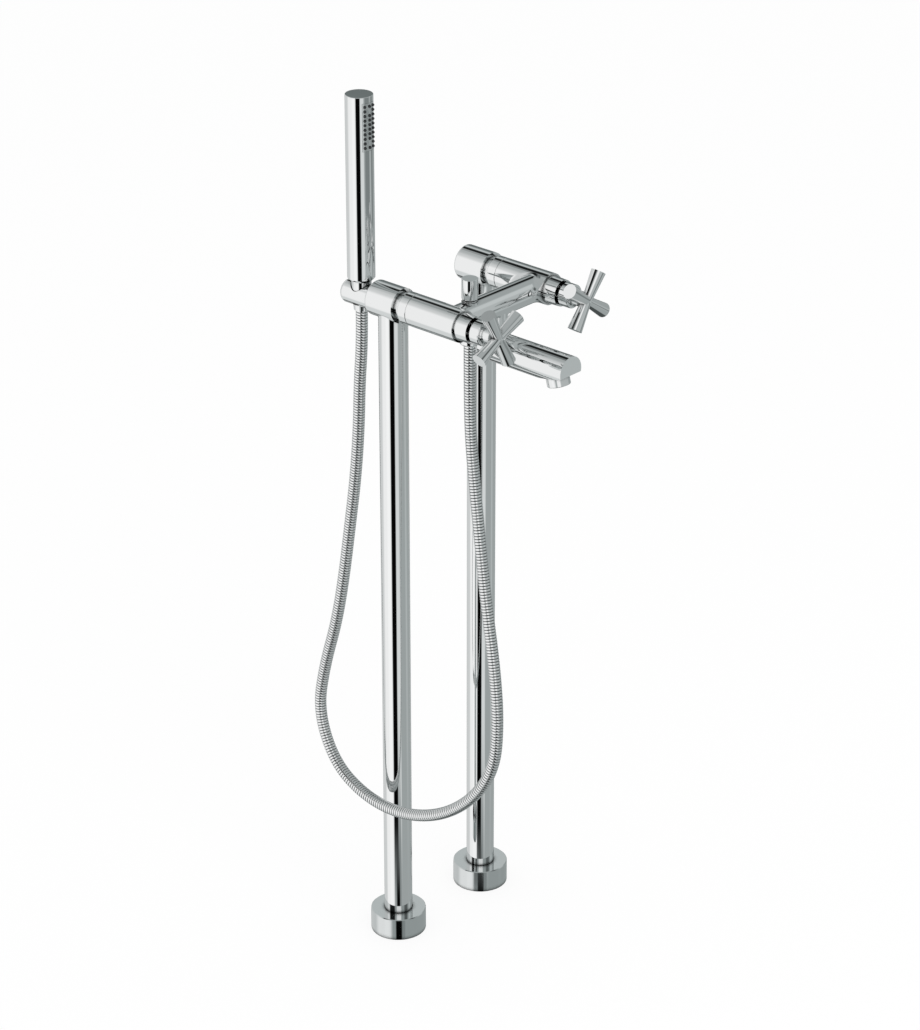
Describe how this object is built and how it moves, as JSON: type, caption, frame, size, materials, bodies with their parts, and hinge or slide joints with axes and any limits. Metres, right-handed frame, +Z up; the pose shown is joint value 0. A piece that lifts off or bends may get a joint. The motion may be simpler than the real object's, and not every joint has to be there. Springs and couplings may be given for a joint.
{
  "type": "floor standing bath filler",
  "caption": "Freestanding bath mixer on two standpipes, with crosshead valves, a fixed spout, a pull diverter and a stick hand shower on a ribbed metal hose",
  "frame": {"origin": "On the floor, midway between the two standpipes, at the centre of the floor fixing holes", "axes": "+Z up, +X from the hot standpipe to the cold one, -Y towards the bath, the way that the spout points"},
  "size_m": [0.2309, 0.3097, 1.06],
  "materials": {
    "chromed_brass": "mirror chrome on turned brass",
    "chromed_casting": "mirror chrome on polished cast brass",
    "chromed_headwork": "bright chrome on machined brass",
    "chromed_handle": "mirror chrome on cast brass",
    "chromed_tube": "mirror chrome on drawn brass tube",
    "chromed_pressing": "mirror chrome on pressed brass",
    "chromed_handset": "mirror chrome on drawn brass tube",
    "chromed_plate": "satin chrome plate",
    "hose_strip": "bright wound steel strip",
    "raw_brass": "machined",
    "copper": "drawn copper",
    "steel": "stainless steel",
    "ceramic": "lapped alumina",
    "black_rubber": "moulded rubber",
    "grey_silicone": "moulded silicone",
    "black_plastic": "moulded",
    "white_plastic": "moulded"
  },
  "bodies": {
    "filler": {"hot_floor_base": "raw_brass", "cold_floor_base": "raw_brass", "hot_floor_cover": "chromed_pressing", "cold_floor_cover": "chromed_pressing", "cover_seal_rings": "black_rubber", "hot_leg_tube": "chromed_tube", "cold_leg_tube": "chromed_tube", "hot_riser_pipe": "copper", "cold_riser_pipe": "copper", "riser_o_rings": "black_rubber", "leg_grub_screws": "steel", "hot_elbow": "chromed_brass", "cold_elbow": "chromed_brass", "spigot_o_rings": "black_rubber", "arm_lock_screws": "steel", "check_valves": "white_plastic", "inlet_filters": "black_rubber", "holder_liner": "black_plastic", "mixer_body": "chromed_casting", "hot_valve_body": "chromed_headwork", "cold_valve_body": "chromed_headwork", "fixed_discs": "ceramic", "valve_seat_seals": "black_rubber", "diverter_gland": "chromed_brass", "diverter_stem_ring": "black_rubber", "shower_outlet_nipple": "chromed_brass", "spout": "chromed_casting", "spout_nipple": "raw_brass", "spout_o_ring": "black_rubber", "aerator_housing": "chromed_brass", "aerator_insert": "white_plastic", "aerator_washer": "black_rubber", "shower_hose": "hose_strip", "hose_outlet_nut": "chromed_brass", "outlet_washer": "black_rubber"},
    "hot_valve": {"hot_handle": "chromed_handle", "hot_handle_screw": "steel", "hot_spindle": "raw_brass", "hot_spindle_o_rings": "black_rubber", "hot_spindle_clip": "steel", "hot_turning_disc": "ceramic"},
    "cold_valve": {"cold_handle": "chromed_handle", "cold_handle_screw": "steel", "cold_spindle": "raw_brass", "cold_spindle_o_rings": "black_rubber", "cold_spindle_clip": "steel", "cold_turning_disc": "ceramic"},
    "diverter": {"diverter_knob": "chromed_brass", "diverter_stem": "steel", "diverter_piston": "raw_brass", "diverter_seals": "black_rubber"},
    "hose_end": {"hose_ferrule": "raw_brass"},
    "handset": {"handset_body": "chromed_handset", "handset_top_cap": "chromed_handset", "spray_plate": "chromed_plate", "spray_nozzles": "grey_silicone", "handset_waterway": "white_plastic", "handset_connector": "chromed_brass", "handset_washer": "black_rubber", "hose_cone_nut": "chromed_brass"}
  },
  "joints": [
    {"name": "hot_turn", "type": "hinge", "parent": "filler", "child": "hot_valve", "pos_m": [-0.075, -0.1585, 0.825], "axis": [0, -1, 0], "range_deg": [0, 90]},
    {"name": "cold_turn", "type": "hinge", "parent": "filler", "child": "cold_valve", "pos_m": [0.075, -0.1585, 0.825], "axis": [0, 1, 0], "range_deg": [0, 90]},
    {"name": "diverter_pull", "type": "slide", "parent": "filler", "child": "diverter", "axis": [0, 0, 1], "range_m": [0, 0.008]},
    {"name": "handset_lift", "type": "slide", "parent": "filler", "child": "hose_end", "axis": [0, 0, 1], "range_m": [0, 0.06]},
    {"name": "handset_swivel", "type": "hinge", "parent": "hose_end", "child": "handset", "pos_m": [-0.075, 0.049, 0.81], "axis": [0, 0, 1], "continuous": true}
  ]
}
